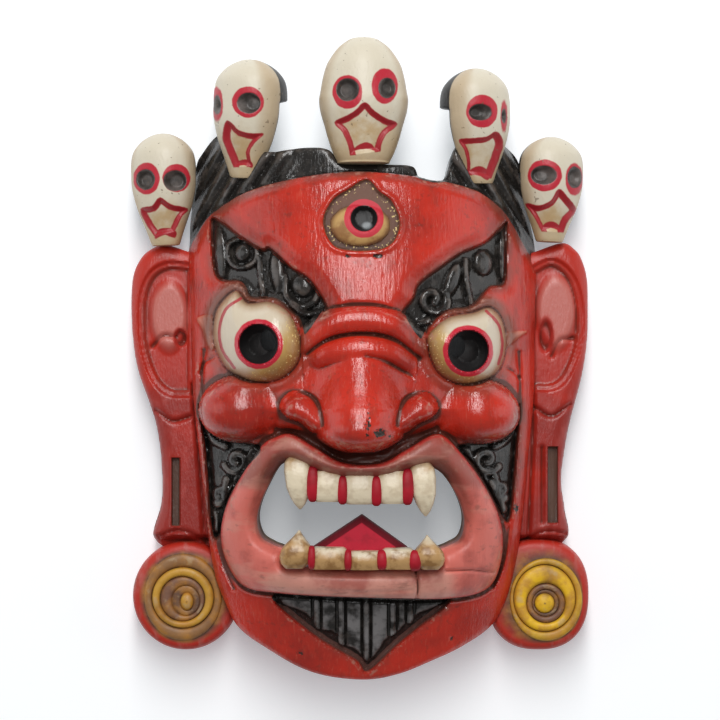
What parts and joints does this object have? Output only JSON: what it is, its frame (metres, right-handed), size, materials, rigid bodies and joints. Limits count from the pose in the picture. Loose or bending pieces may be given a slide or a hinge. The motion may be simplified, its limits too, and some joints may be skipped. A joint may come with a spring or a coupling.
{
  "type": "carved dance mask",
  "caption": "Carved and painted wooden mask of a wrathful three-eyed guardian with a skull crown, long ears, round earrings and an open fanged mouth, hollow behind for the wearer's face.",
  "frame": {"origin": "middle of the mask's outline, in the plane of the flat back rim it lies on", "axes": "+Y from the chin to the skull crown, +Z out of the face, +X to the viewer's right"},
  "size_m": [0.2628, 0.3604, 0.121],
  "materials": {
    "painted_wood": "satin paint, brown wash in the hollows, bare wood behind"
  },
  "bodies": {
    "root": {"carved_mask": "painted_wood"}
  },
  "joints": []
}
